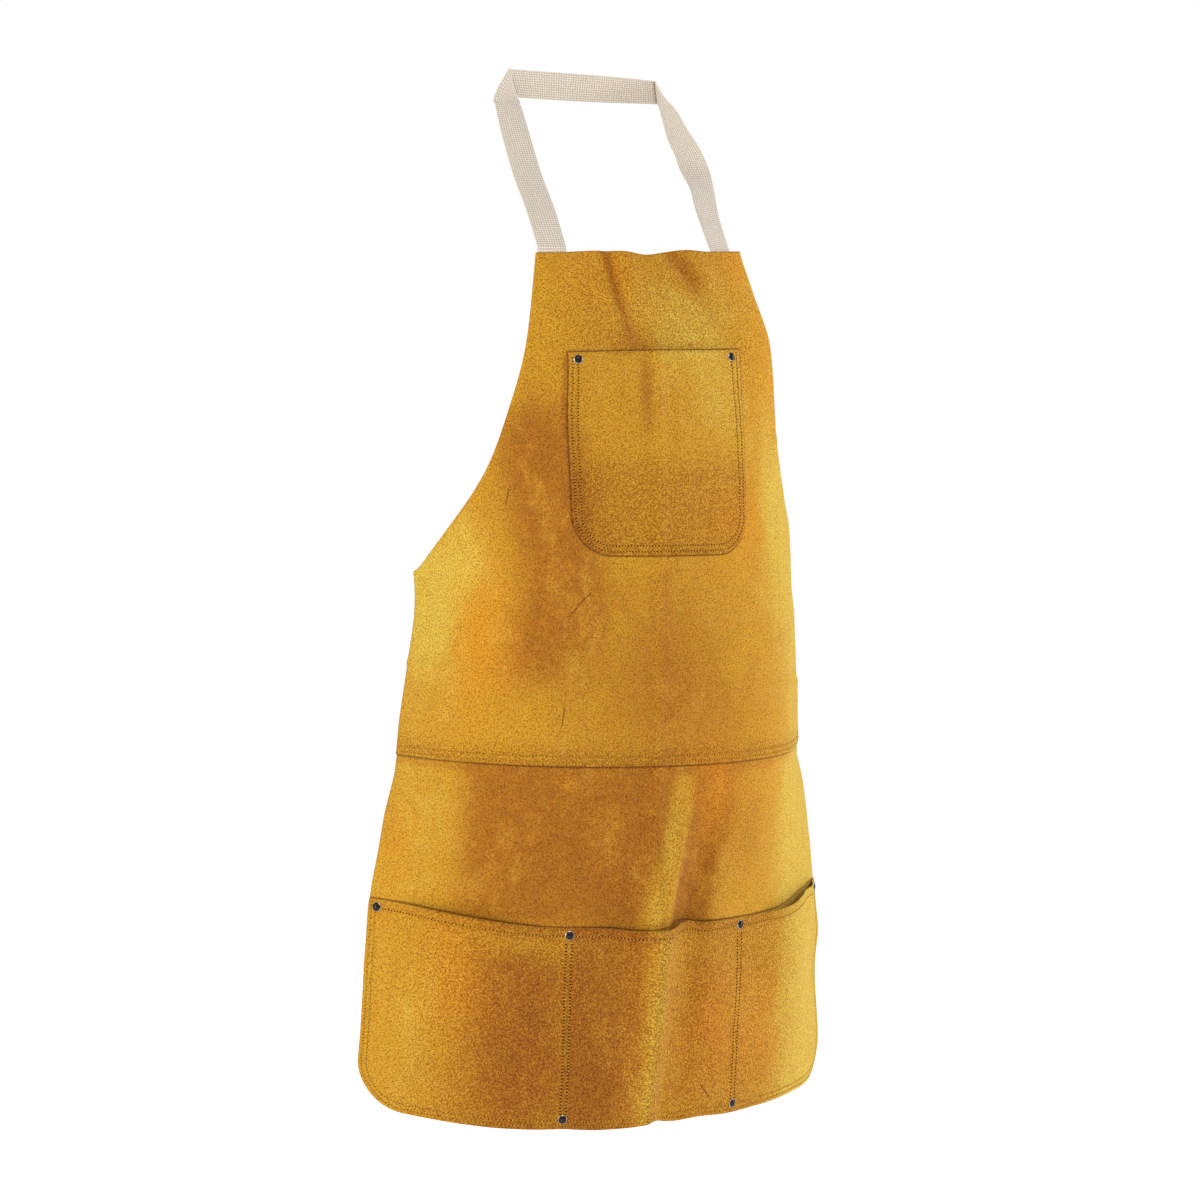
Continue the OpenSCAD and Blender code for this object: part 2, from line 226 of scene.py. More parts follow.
# ---------------------------------------------------------------- how far each layer stands off
def dome(x):
    """A smooth swelling: 1 in the middle, down to 0 at -1 and at 1."""
    return np.where(np.abs(x) < 1, (1 - x * x) ** 2, 0)


def bib_off(t, s):
    return 0 * t + 0 * s


def skirt_off(t, s):
    return -BODY_GAP - LEATHER + 0 * t + 0 * s


def chest_off(t, s):
    low = CHEST_TOP + CHEST_DEEP
    puff = 5.0 * dome(s / 90) * smooth(0, 1, (low - 15 - t) / (CHEST_DEEP * 0.8))
    return LEATHER + 0.25 + puff


def bay(s):
    """Place across one of the skirt pocket's three bays: -1 to 1, then a flat margin beside its seams."""
    margin = 15
    side = (np.abs(s) - (DIVIDER_S + HALF_W) / 2) / ((HALF_W - DIVIDER_S) / 2 - margin)
    return np.where(np.abs(s) < DIVIDER_S, s / (DIVIDER_S - margin), side)


def pocket_off(t, s):
    puff = 10.5 * dome(bay(s)) * smooth(0, 1, (APRON_LEN - 15 - t) / 150)
    slack = 5.0 * bell(s - 270, 15) * smooth(60, 0, t - MOUTH_T)
    return 0.05 - BODY_GAP + puff + slack


# ---------------------------------------------------------------- meshes
def tube_faces(rings, sides):
    """Faces of a closed tube of rings, one after the other, with its two ends."""
    faces = []
    for i in range(rings - 1):
        for j in range(sides):
            k = (j + 1) % sides
            faces.append((i * sides + j, i * sides + k, (i + 1) * sides + k, (i + 1) * sides + j))
    faces.append(tuple(range(sides - 1, -1, -1)))
    faces.append(tuple((rings - 1) * sides + j for j in range(sides)))
    return faces


def mesh_object(name, verts, faces, material):
    mesh = bpy.data.meshes.new(name)
    mesh.from_pydata([tuple(v) for v in verts], [], faces)
    mesh.validate()
    mesh.update()
    mesh.polygons.foreach_set("use_smooth", [True] * len(mesh.polygons))
    obj = bpy.data.objects.new(name, mesh)
    bpy.context.scene.collection.objects.link(obj)
    mesh.materials.append(material)
    return obj


def grid_faces(n, m, start=0, flip=False):
    i, j = np.meshgrid(np.arange(n - 1), np.arange(m - 1), indexing="ij")
    a = (start + i * m + j).ravel()
    quads = np.stack([a, a + 1, a + m + 1, a + m], 1)
    return (quads[:, ::-1] if flip else quads).tolist()


def rim(n, m):
    """Pairs of neighbouring points round the edge of an n by m grid."""
    ring = list(range(m)) + [i * m + m - 1 for i in range(1, n)]
    ring += [(n - 1) * m + j for j in range(m - 2, -1, -1)] + [i * m for i in range(n - 2, 0, -1)]
    return list(zip(ring, ring[1:] + ring[:1]))


def lay_flat(obj, across, down):
    """Store where each point lies on the flat piece, in metres."""
    mesh = obj.data
    loops = np.zeros(len(mesh.loops), dtype=np.int32)
    mesh.loops.foreach_get("vertex_index", loops)
    places = np.stack([across[loops], down[loops]], 1)
    mesh.uv_layers.new(name="flat").data.foreach_set("uv", places.ravel())


def leather_sheet(name, ts, columns, width, off_at, sewn, grain):
    """Closed sheet of leather with softened edges. sewn(t, s) gives the distance from the sewn edge."""
    t = np.repeat(ts[:, None], columns + 1, 1)
    s = np.linspace(-1, 1, columns + 1)[None, :] * width(ts)[:, None]
    edge_inset = 0.45
    n, m = t.shape
    across, down = np.arange(m), np.arange(n)
    border = (across == 0) | (across == m - 1) | ((down == 0) | (down == n - 1))[:, None]
    pinch = np.where(border, edge_inset, 0.0)
    base = off_at(t, s)
    inner = skin(t, s, base + pinch)
    outer = skin(t, s, base + LEATHER - pinch)
    verts = np.concatenate([inner.reshape(-1, 3), outer.reshape(-1, 3)])
    faces = grid_faces(n, m) + grid_faces(n, m, n * m, flip=True)
    for a, b in rim(n, m):
        faces.append((b, a, a + n * m, b + n * m))
    obj = mesh_object(name, verts, faces, FINISH["leather"])
    mesh = obj.data
    both_t, both_s = np.tile(t.ravel(), 2), np.tile(s.ravel(), 2)
    lay_flat(obj, both_s * MM, -both_t * MM)
    edge = mesh.attributes.new("sewn_edge", "FLOAT", "POINT")
    edge.data.foreach_set("value", sewn(both_t, both_s).astype(np.float32))
    tone = mesh.attributes.new("tone", "FLOAT_COLOR", "POINT")
    tone.data.foreach_set("color", hide_tone(t, s, grain).astype(np.float32).ravel())
    spans = 2 * width(ts)
    area = float(np.sum((spans[1:] + spans[:-1]) / 2 * np.diff(ts))) * 1e-6
    return obj, area


def outline_distance(half, r, bottom):
    """Distance inwards from a U-shaped outline with rounded lower corners."""
    def distance(t, s):
        across, up = half - np.abs(s), bottom - t
        round_off = r - np.hypot(np.maximum(r - across, 0), np.maximum(r - up, 0))
        return np.where((across < r) & (up < r), round_off, np.minimum(across, up))
    return distance


def from_seam(t, s):
    """Distance up from the edge that the lapped seam sews down."""
    return SEAM_T - t


def unsewn(t, s):
    """No stitched edge of its own: far from any row."""
    return 500 + 0 * t


# Soft patches of dye, one of them painted shade: strength, then middle and reach across, then middle and
# reach down.
BROWN_PATCHES = (
    (0.85, -138, 42, 215, 66), (0.80, -122, 46, 315, 85), (0.42, -20, 110, 455, 120),
    # The narrow brown patch at s -20, t 150 is painted shade in the dent that folds() presses there.
    (0.25, 60, 70, 500, 60), (0.35, -30, 30, 95, 16), (0.50, -20, 8, 150, 46), (0.30, 110, 30, 620, 50),
    (0.30, -70, 50, 860, 60), (0.42, 50, 34, 810, 90), (0.30, 200, 60, 850, 40))
PALE_PATCHES = (
    (1.00, -280, 34, 385, 62), (0.45, -225, 40, 330, 50), (0.20, -250, 30, 810, 60), (0.45, 20, 60, 75, 45),
    (0.40, 75, 40, 150, 90), (0.25, 200, 40, 130, 60))
ORANGE_PATCHES = (
    (0.55, -205, 40, 400, 90), (0.50, 95, 50, 285, 50), (0.45, 150, 50, 120, 70), (0.45, -285, 30, 640, 70),
    (0.60, 160, 60, 830, 60), (0.45, -210, 36, 760, 60), (0.35, 170, 60, 560, 60), (0.40, 110, 30, 10, 30),
    (0.45, 60, 45, 820, 70), (0.50, 60, 40, 560, 50), (0.30, -60, 40, 20, 40))


def patches(table, t, s):
    """All the patches of one dye together."""
    return sum(amount * bell(s - middle_s, reach_s) * bell(t - middle_t, reach_t)
               for amount, middle_s, reach_s, middle_t, reach_t in table)


def dye_and_painted_shade(t, s):
    """Uneven dye with painted shade and highlights of the folds: the hide's pale, brown and orange shares.
    """
    crest, crease = crest_s(t), s + 0.008 * t
    below_seam, on_pocket = smooth(536, 546, t), smooth(702, 708, t)
    skirt = below_seam * smooth(716, 690, t)

    brown = patches(BROWN_PATCHES, t, s)
    # Painted shade in the creases of the bib's top pleats.
    brown = brown + 0.75 * bell(s + 52 - 0.20 * t, 6) * smooth(112, 60, t)
    brown = brown + 0.60 * bell(s - 26 - 0.6 * t, 16) * bell(t - 20, 40)
    # Painted shadow on the panel beside the chest pocket's left edge.
    brown = brown + 0.55 * bell(s + 108, 3) * smooth(106, 116, t) * smooth(300, 270, t)
    brown = brown + 0.80 * bell(s + 130 + 0.5 * (t - 405), 40) * bell(t - 405, 50)
    # Painted shade beside and along the pressed centre crease.
    brown = brown + 0.12 * bell(crease - 6, 40) * bell(t - 400, 90)
    brown = brown + 0.28 * bell(crease + 1, 4) * smooth(325, 345, t)
    # Painted shadow on the lower panel just under the upper panel's lapped edge.
    brown = brown + 0.45 * bell(t - 543, 8) * below_seam
    # Brown left of the skirt fold's crest, following the fold; then painted shadow in the furrow right of
    # the crest.
    brown = brown + 0.82 * smooth(-235, -190, s) * smooth(crest - 8, crest - 40, s) * skirt
    brown = brown + 0.95 * smooth(crest + 2, crest + 17, s) * smooth(crest + 78, crest + 34, s) * skirt
    brown = brown + 0.30 * bell(t - 712, 7) * on_pocket
    brown = brown + 0.85 * bell(s + 150, 52) * smooth(715, 760, t) * (1 - 0.35 * smooth(860, 914, t))
    # Darker left of the fold's crest on the pocket, following the fold.
    brown = brown + 0.48 * smooth(-110, -90, s) * smooth(crest - 10, crest - 26, s) * on_pocket

    pale = patches(PALE_PATCHES, t, s)
    pale = pale + 0.85 * smooth(118, 165, s) * bell(t - 285, 90)
    pale = pale + 0.60 * smooth(140, 230, s) * smooth(230, 300, t)
    # The left edge of the skirt is paler; the band along the fold's crest is a painted highlight.
    pale = pale + (0.18 * smooth(-215, -270, s) + 0.36 * bell(s - crest + 10, 11)) * skirt
    pale = pale + 0.36 * smooth(105, 240, s) * below_seam
    # Painted highlight along the fold's crest on the pocket.
    pale = pale + 0.50 * bell(s - crest + 3, 8) * smooth(700, 720, t)
    pale = (pale + 0.18) * (1 - 0.75 * np.clip(brown, 0, 1))
    return pale, brown + 0.16, patches(ORANGE_PATCHES, t, s) + 0.20


def panel_grain(t, s):
    bib_top = smooth(200, 100, t) * smooth(150, 60, np.abs(s))
    return 0.32 * bib_top + 0.36 * bell(t - 532, 12) + 0.22


def skirt_grain(t, s):
    return 0.20 + 0.25 * bell(s + 20, 130) * bell(t - 620, 90)


def chest_grain(t, s):
    return 0.32 + 0.42 * smooth(205, 245, t)


def pocket_grain(t, s):
    return 0.22 + 0.5 * smooth(280, 130, np.abs(s + 20))


def hide_tone(t, s, grain):
    """Dye, painted shade and grain of a sheet's two faces; the inner face, which comes first, took the dye
    more evenly.
    """
    pale, brown, orange = dye_and_painted_shade(t, s)
    outer = np.stack([pale, brown, orange, grain(t, s)], -1)
    inner = np.stack([0.18 + 0.25 * pale, 0.22 + 0.3 * brown, 0.2 + 0.25 * orange, 0.35 + 0 * t], -1)
    return np.clip(np.concatenate([inner.reshape(-1, 4), outer.reshape(-1, 4)]), 0, 1)


# ---------------------------------------------------------------- stitching
def row_points(path):
    """Evenly pitched points and forward directions along a list of (t, s)."""
    path = np.array(path, float)
    lengths = np.concatenate([[0], np.cumsum(np.hypot(*np.diff(path, axis=0).T))])
    count = max(2, round(lengths[-1] / PITCH))
    at = (np.arange(count) + 0.5) * lengths[-1] / count
    points = np.stack([np.interp(at, lengths, path[:, k]) for k in (0, 1)], 1)
    ahead = np.stack([np.interp(at + 0.5, lengths, path[:, k]) for k in (0, 1)], 1)
    behind = np.stack([np.interp(at - 0.5, lengths, path[:, k]) for k in (0, 1)], 1)
    step = ahead - behind
    return points, step / np.maximum(np.hypot(step[:, 0], step[:, 1]), 1e-6)[:, None]


def stitch_template():
    """One stitch: a short bead of thread whose ends dip into the leather."""
    rings, sides, half = 7, 8, PITCH * 0.31
    verts = []
    for i in range(rings):
        u = i / (rings - 1) * 2 - 1
        fat = 0.42 * math.sqrt(max(0.0, 1 - abs(u) ** 3.0)) + 0.06
        rise = 0.30 * (1 - u * u) - 0.24
        for j in range(sides):
            a = 2 * math.pi * j / sides
            verts.append((u * half, fat * math.cos(a), rise + fat * 0.72 * math.sin(a)))
    return np.array(verts), tube_faces(rings, sides)


def hole_shade_template(pull):
    """The needle's hole as a shallow dished disc carrying its painted shade, wider where the thread is
    pulled harder.
    """
    sides, half_long, half_wide = 8, 0.98 * pull, 0.86 * pull
    angles = [2 * math.pi * j / sides for j in range(sides)]
    ring = [(half_long * math.cos(a), half_wide * math.sin(a), -0.06) for a in angles]
    return np.array(ring + [(0.0, 0.0, 0.10)]), [(j, (j + 1) % sides, sides) for j in range(sides)]


def scatter(name, template, spots, material):
    """Copies of a small template, one at each (place, forward, out) spot, as one mesh.

    Each point keeps its distance from the template's axis, in millimetres, as "from_axis".
    """
    shape, faces = template
    place, forward, out = spots
    side = np.cross(out, forward)
    verts = (place[:, None, :] + shape[None, :, 0:1] * MM * forward[:, None, :]
             + shape[None, :, 1:2] * MM * side[:, None, :] + shape[None, :, 2:3] * MM * out[:, None, :])
    count = len(shape)
    all_faces = [tuple(k + i * count for k in f) for i in range(len(place)) for f in faces]
    obj = mesh_object(name, verts.reshape(-1, 3), all_faces, material)
    away = np.tile(np.hypot(shape[:, 0], shape[:, 1]), len(place)).astype(np.float32)
    obj.data.attributes.new("from_axis", "FLOAT", "POINT").data.foreach_set("value", away)
    return obj


def spots_along(paths, off_at, shift=0.0):
    """Places, forward directions and outward directions of the stitches of some rows."""
    wander, standing = 0.12, 0.10
    places, forwards, outs = [], [], []
    for path in paths:
        points, step = row_points(path)
        points = points + step * shift + rng.normal(0, wander, points.shape)
        t, s = points[:, 0], points[:, 1]
        out = outward(t, s, off_at)
        here = skin(t, s, off_at(t, s) + LEATHER) + out * standing * MM
        next_t, next_s = t + step[:, 0], s + step[:, 1]
        there = skin(next_t, next_s, off_at(next_t, next_s) + LEATHER)
        forward = there - here
        forward = forward - out * np.sum(forward * out, 1, keepdims=True)
        places.append(here)
        forwards.append(forward / np.linalg.norm(forward, axis=1, keepdims=True))
        outs.append(out)
    return np.concatenate(places), np.concatenate(forwards), np.concatenate(outs)


def stitch_piece(name, paths, off_at, pull):
    """A row's thread and, where it is pulled tight, dark discs of painted shade at its needle holes."""
    thread = scatter(name, stitch_template(), spots_along(paths, off_at), FINISH["thread"])
    if not pull:
        return [thread]
    needle_spots = spots_along(paths, off_at, PITCH / 2)
    hole_shades = scatter(name + "_holes", hole_shade_template(pull), needle_spots, FINISH["needle_hole"])
    return [thread, hole_shades]


def u_path(half, r, top, bottom, inset):
    """Down one side, round the bottom and up the other side of a rounded outline."""
    h, c, low = half - inset, max(r - inset, 1), bottom - inset
    arc = np.linspace(0, math.pi / 2, 16)
    left = [(low - c + c * math.sin(a), -h + c - c * math.cos(a)) for a in arc]
    right = [(t, -s) for t, s in reversed(left)]
    return [(top, -h)] + left + right + [(top, h)]


# ---------------------------------------------------------------- materials
def plug(node, key, value):
    """Link a socket to another node's output, or set it to a plain value."""
    if hasattr(value, "links"):
        node.id_data.links.new(value, node.inputs[key])
    else:
        node.inputs[key].default_value = value


def node_tree(tree):
    """A short maker for the nodes of one tree."""
    def add(kind, values=(), **settings):
        node = tree.nodes.new(kind)
        for key, value in settings.items():
            setattr(node, key, value)
        for key, value in dict(values).items():
            plug(node, key, value)
        return node
    return add


def maths(add, kind, a, b=0.0, c=0.0):
    return add("ShaderNodeMath", {0: a, 1: b, 2: c}, operation=kind).outputs[0]


def between(add, a, b):
    """How far apart two values are."""
    return maths(add, "ABSOLUTE", maths(add, "SUBTRACT", a, b))


def highest(add, values):
    """The greatest of several values."""
    top, *others = values
    for value in others:
        top = maths(add, "MAXIMUM", top, value)
    return top


def scaled(add, vector, scale):
    """Places stretched along the axes, so that a pattern on them runs long one way."""
    return add("ShaderNodeMapping", {"Vector": vector, "Scale": scale}).outputs[0]


def blend_colour(add, share, a, b):
    """Colour a with a share of colour b over it."""
    node = add("ShaderNodeMix", {0: share}, data_type="RGBA")
    for key, value in ((6, a), (7, b)):
        plug(node, key, value if hasattr(value, "links") else (*value, 1))
    return node.outputs[2]


def laid_over(add, colour, mask, strength, over):
    """A colour with another laid over it by a mask, at some strength."""
    return blend_colour(add, maths(add, "MULTIPLY", mask, strength), colour, over)


def multiplied(add, colour, by):
    """A colour times another, channel by channel."""
    return add("ShaderNodeVectorMath", {0: colour, 1: by}, operation="MULTIPLY").outputs[0]


def ramp(add, value, low, high):
    """0 at low, 1 at high, with an easy curve between."""
    return add("ShaderNodeMapRange", {0: value, 1: low, 2: high}, interpolation_type="SMOOTHSTEP",
               clamp=True).outputs[0]


def new_group(name, inputs, outputs):
    group = bpy.data.node_groups.new(name, "ShaderNodeTree")
    for label, kind in inputs:
        group.interface.new_socket(label, in_out="INPUT", socket_type=kind)
    for label, kind in outputs:
        group.interface.new_socket(label, in_out="OUTPUT", socket_type=kind)
    add = node_tree(group)
    return group, add, add("NodeGroupInput"), add("NodeGroupOutput")


def noise(add, vector, scale, detail=3.0, rough=0.55, distort=0.0):
    values = {"Vector": vector, "Scale": scale, "Detail": detail, "Roughness": rough, "Distortion": distort}
    return add("ShaderNodeTexNoise", values).outputs[0]


def suede_nap_group():
    """Nap of a split hide, as a height and a shade: brushed fibres, dark pits and pebbled patches."""
    group, add, given, out = new_group(
        "suede_nap", [("Vector", "NodeSocketVector"), ("Pebble", "NodeSocketFloat")],
        [("Height", "NodeSocketFloat"), ("Shade", "NodeSocketFloat")])
    v = given.outputs["Vector"]
    fibre = noise(add, scaled(add, v, (1.0, 0.6, 1.0)), 1100.0, 3.0, 0.7)
    tuft = noise(add, v, 600.0, 2.0, 0.6, 0.5)
    pit = ramp(add, tuft, 0.36, 0.60)
    cell = add("ShaderNodeTexVoronoi", {"Vector": v, "Scale": 600.0}).outputs["Distance"]
    gap = maths(add, "MULTIPLY", ramp(add, cell, 0.32, 0.66), given.outputs["Pebble"])
    height = maths(add, "MULTIPLY_ADD", fibre, 0.4, maths(add, "MULTIPLY", tuft, 0.9))
    height = maths(add, "MULTIPLY_ADD", gap, -0.8, height)
    shade = maths(add, "MULTIPLY_ADD", fibre, 0.42, maths(add, "MULTIPLY_ADD", pit, 0.62, -0.02))
    shade = maths(add, "MULTIPLY_ADD", gap, -0.78, shade)
    plug(out, "Height", height)
    plug(out, "Shade", shade)
    return group


def seam_groove_group():
    """Grooves that two rows of tight stitching press into leather, from the distance to the sewn edge."""
    group, add, given, out = new_group(
        "seam_groove", [("Distance", "NodeSocketFloat"), ("First row", "NodeSocketFloat"),
                        ("Second row", "NodeSocketFloat")], [("Groove", "NodeSocketFloat")])
    grooves = []
    for label in ("First row", "Second row"):
        away = between(add, given.outputs["Distance"], given.outputs[label])
        grooves.append(maths(add, "SUBTRACT", 1.0, ramp(add, away, 0.0, 2.4)))
    plug(out, "Groove", highest(add, grooves))
    return group


def overlap_shadow_group():
    """Painted shadow: a dark line on a sheet right beside the edge of one lying over it, by flat position.
    """
    group, add, given, out = new_group(
        "overlap_shadow", [("Vector", "NodeSocketVector")], [("Line", "NodeSocketFloat")])
    place = add("ShaderNodeSeparateXYZ", {0: given.outputs["Vector"]})
    down = maths(add, "MULTIPLY", place.outputs[1], -1.0)
    low, radius = (CHEST_TOP + CHEST_DEEP) * MM, CHEST_R * MM
    # The chest pocket's outline is a rounded box, taller than the pocket so that its top stays square.
    box_top = (CHEST_TOP - 2 * CHEST_R) * MM
    aside = maths(add, "SUBTRACT", maths(add, "ABSOLUTE", place.outputs[0]), CHEST_HALF * MM - radius)
    beyond = maths(add, "SUBTRACT", between(add, down, (box_top + low) / 2), (low - box_top) / 2 - radius)
    past = [maths(add, "MAXIMUM", side, 0.0) for side in (aside, beyond)]
    corner = add("ShaderNodeCombineXYZ", dict(enumerate(past))).outputs[0]
    corner = add("ShaderNodeVectorMath", {0: corner}, operation="LENGTH").outputs["Value"]
    inside = maths(add, "MINIMUM", maths(add, "MAXIMUM", aside, beyond), 0.0)
    outline = maths(add, "SUBTRACT", maths(add, "ADD", corner, inside), radius)
    pocket = maths(add, "MAXIMUM", outline, maths(add, "SUBTRACT", CHEST_TOP * MM, down))
    seam = maths(add, "SUBTRACT", down, SEAM_T * MM)
    mouth = maths(add, "SUBTRACT", MOUTH_T * MM, down)
    lines = []
    for away in (pocket, seam, mouth):
        close, outside = ramp(add, away, 0.0026, 0.0006), ramp(add, away, -0.0002, 0.0001)
        lines.append(maths(add, "MULTIPLY", close, outside))
    plug(out, "Line", highest(add, lines))
    return group


def new_material(name):
    material = bpy.data.materials.new(name)
    material.use_nodes = True
    tree = material.node_tree
    tree.nodes.clear()
    add = node_tree(tree)
    shader = add("ShaderNodeBsdfPrincipled")
    add("ShaderNodeOutputMaterial", {0: shader.outputs[0]})
    return material, add, shader


def raise_surface(add, shader, height, strength=1.0):
    """Bumps on a finish, of a height in metres."""
    bump = add("ShaderNodeBump", {"Height": height, "Distance": 1.0, "Strength": strength})
    plug(shader, "Normal", bump.outputs[0])


def set_group(add, group, values):
    """A node group with its inputs plugged in."""
    return add("ShaderNodeGroup", values, node_tree=group)


GOLD, PALE = (0.49, 0.250, 0.017), (0.56, 0.39, 0.055)
BROWN, ORANGE = (0.32, 0.115, 0.010), (0.58, 0.225, 0.010)
# The line colour is the painted shadow beside overlapping edges.
SCAR_COLOUR, SHADOW_LINE_COLOUR = (0.12, 0.035, 0.005), (0.11, 0.036, 0.006)
# Old scratches in the hide: s, t, lean in degrees and length, all in the flat layout.
SCARS = (
    (-170, 262, 14, 22), (-116, 490, 8, 24), (-100, 375, 42, 30), (-92, 366, 48, 18), (62, 886, -42, 24))


def scars(add, flat):
    """Mask of the thin dark scratches."""
    masks = []
    for s, t, lean, length in SCARS:
        moved = add("ShaderNodeVectorMath", {0: flat, 1: (s * MM, -t * MM, 0)}, operation="SUBTRACT")
        leaning = {"Vector": moved.outputs[0], "Rotation": (0, 0, math.radians(lean))}
        parts = add("ShaderNodeSeparateXYZ", {0: add("ShaderNodeMapping", leaning).outputs[0]})
        aside, along = (maths(add, "ABSOLUTE", parts.outputs[k]) for k in (0, 1))
        thin = ramp(add, aside, 0.0010, 0.0003)
        long = ramp(add, along, length * 0.5 * MM, length * 0.3 * MM)
        masks.append(maths(add, "MULTIPLY", thin, long))
    return highest(add, masks)


def split_leather():
    """Golden split hide with uneven dye, nap, scuffs and the grooves of its stitched edges; painted shade,
    highlights and shadow lines too.
    """
    material, add, shader = new_material("split_leather")
    flat = add("ShaderNodeUVMap", uv_map="flat").outputs[0]
    tone = add("ShaderNodeAttribute", attribute_name="tone")
    split = add("ShaderNodeSeparateColor", {0: tone.outputs["Color"]})
    edge = add("ShaderNodeAttribute", attribute_name="sewn_edge").outputs["Fac"]
    nap = set_group(add, NAP, {"Vector": flat, "Pebble": tone.outputs["Alpha"]})
    groove = set_group(
        add, GROOVE, {"Distance": edge, "First row": EDGE_ROW, "Second row": EDGE_ROW + ROW_GAP})
    brushed = scaled(add, flat, (1.0, 0.6, 1.0))
    wide = noise(add, brushed, 11.0, 4.0, 0.6, 0.8)
    cloud = noise(add, brushed, 38.0, 5.0, 0.66, 0.9)
    fleck = noise(add, flat, 130.0, 4.0, 0.7, 0.5)
    streak = noise(add, scaled(add, flat, (1.0, 0.30, 1.0)), 70.0, 5.0, 0.65, 1.2)
    blush = noise(add, flat, 85.0, 4.0, 0.62, 0.6)
    uneven = maths(add, "MULTIPLY_ADD", cloud, 0.38, maths(add, "MULTIPLY", fleck, 0.12))
    uneven = maths(add, "MULTIPLY_ADD", wide, 0.50, uneven)
    ragged = maths(add, "MULTIPLY_ADD", uneven, 2.4, -1.2)

    def tone_share(channel):
        """Share of one tone channel, which holds dye with painted shade and highlights, with a ragged edge.
        """
        return ramp(add, maths(add, "ADD", split.outputs[channel], ragged), 0.02, 0.98)

    # The brown share also lays painted shade of folds, creases and overlaps; the pale share, painted
    # highlights on the fold's crest.
    colour = laid_over(add, GOLD, tone_share("Green"), 1.0, BROWN)
    colour = laid_over(add, colour, tone_share("Blue"), 0.8, ORANGE)
    colour = laid_over(add, colour, tone_share("Red"), 0.9, PALE)
    colour = laid_over(add, colour, ramp(add, streak, 0.52, 0.72), 0.22, BROWN)
    colour = laid_over(add, colour, ramp(add, fleck, 0.45, 0.78), 0.13, PALE)
    colour = laid_over(add, colour, ramp(add, blush, 0.46, 0.74), 0.24, ORANGE)
    colour = laid_over(add, colour, scars(add, flat), 0.75, SCAR_COLOUR)
    # Painted shadow: a thin dark line round the chest pocket, under the seam's lapped edge and above the
    # pocket mouth.
    pressed = set_group(add, OVERLAP_SHADOW, {"Vector": flat}).outputs[0]
    colour = laid_over(add, colour, pressed, 0.64, SHADOW_LINE_COLOUR)
    shade = maths(add, "MULTIPLY_ADD", nap.outputs["Shade"], 1.4, 0.08)
    # The stitch grooves also darken the colour slightly: painted shade in the grooves.
    shade = maths(add, "MULTIPLY_ADD", groove.outputs[0], -0.03, shade)
    # Darker within 1.3 mm of a sewn edge: partly the cut edge's own tone, partly painted shade at the edge.
    raw_edge_and_shade = maths(add, "SUBTRACT", 1.0, ramp(add, edge, 0.0, 1.3))
    shade = maths(add, "MULTIPLY_ADD", raw_edge_and_shade, -0.16, shade)
    pit_colour = multiplied(add, colour, (0.60, 0.40, 0.24))
    tip_colour = multiplied(add, colour, (1.16, 1.19, 1.06))
    plug(shader, "Base Color", blend_colour(add, shade, pit_colour, tip_colour))
    plug(shader, "Roughness", maths(add, "MULTIPLY_ADD", cloud, -0.12, 0.96))
    crumple = noise(add, flat, 60.0, 4.0, 0.6, 0.4)
    height = maths(add, "MULTIPLY", crumple, 0.0020)
    height = maths(add, "MULTIPLY_ADD", nap.outputs["Height"], 0.00060, height)
    height = maths(add, "MULTIPLY_ADD", groove.outputs[0], -0.0007, height)
    raise_surface(add, shader, height, 0.85)
    shader.inputs["Specular IOR Level"].default_value = 0.18
    shader.inputs["Sheen Weight"].default_value = 0.10
    shader.inputs["Sheen Roughness"].default_value = 0.45
    shader.inputs["Sheen Tint"].default_value = (1.0, 0.82, 0.42, 1)
    return material


def webbing_material():
    """Ribbed cotton tape with crossed ribs and a tight selvedge."""
    material, add, shader = new_material("cotton_webbing")
    flat = add("ShaderNodeUVMap", uv_map="flat").outputs[0]
    along = add("ShaderNodeSeparateXYZ", {0: flat})
    wobble = maths(add, "MULTIPLY", noise(add, flat, 300.0), 0.9)

    def rib(value, pitch_mm):
        phase = maths(add, "MULTIPLY_ADD", value, 2 * math.pi * 1000 / pitch_mm, wobble)
        return maths(add, "MULTIPLY_ADD", maths(add, "SINE", phase), 0.5, 0.5)

    weave = maths(add, "MULTIPLY", rib(along.outputs[0], 2.5), rib(along.outputs[1], 2.9))
    selvedge = ramp(add, maths(add, "ABSOLUTE", along.outputs[0]), 0.0125, 0.0145)
    dust = noise(add, flat, 40.0, 4.0, 0.6)
    colour = blend_colour(add, ramp(add, weave, 0.0, 0.8), (0.48, 0.41, 0.33), (0.80, 0.72, 0.61))
    colour = laid_over(add, colour, ramp(add, dust, 0.5, 0.8), 0.35, (0.60, 0.51, 0.38))
    colour = laid_over(add, colour, selvedge, 0.3, (0.62, 0.54, 0.42))
    plug(shader, "Base Color", colour)
    raise_surface(add, shader, maths(add, "MULTIPLY", weave, 0.00035), 0.9)
    shader.inputs["Roughness"].default_value = 0.9
    shader.inputs["Sheen Weight"].default_value = 0.25
    return material


def thread_material():
    """Heavy golden thread with a fine twist."""
    material, add, shader = new_material("yellow_thread")
    place = add("ShaderNodeTexCoord").outputs["Object"]
    twist = noise(add, place, 1600.0, 2.0)
    colour = blend_colour(add, ramp(add, twist, 0.35, 0.65), (0.40, 0.19, 0.013), (0.60, 0.32, 0.03))
    plug(shader, "Base Color", colour)
    raise_surface(add, shader, maths(add, "MULTIPLY", twist, 0.0002))
    shader.inputs["Roughness"].default_value = 0.75
    shader.inputs["Specular IOR Level"].default_value = 0.15
    return material


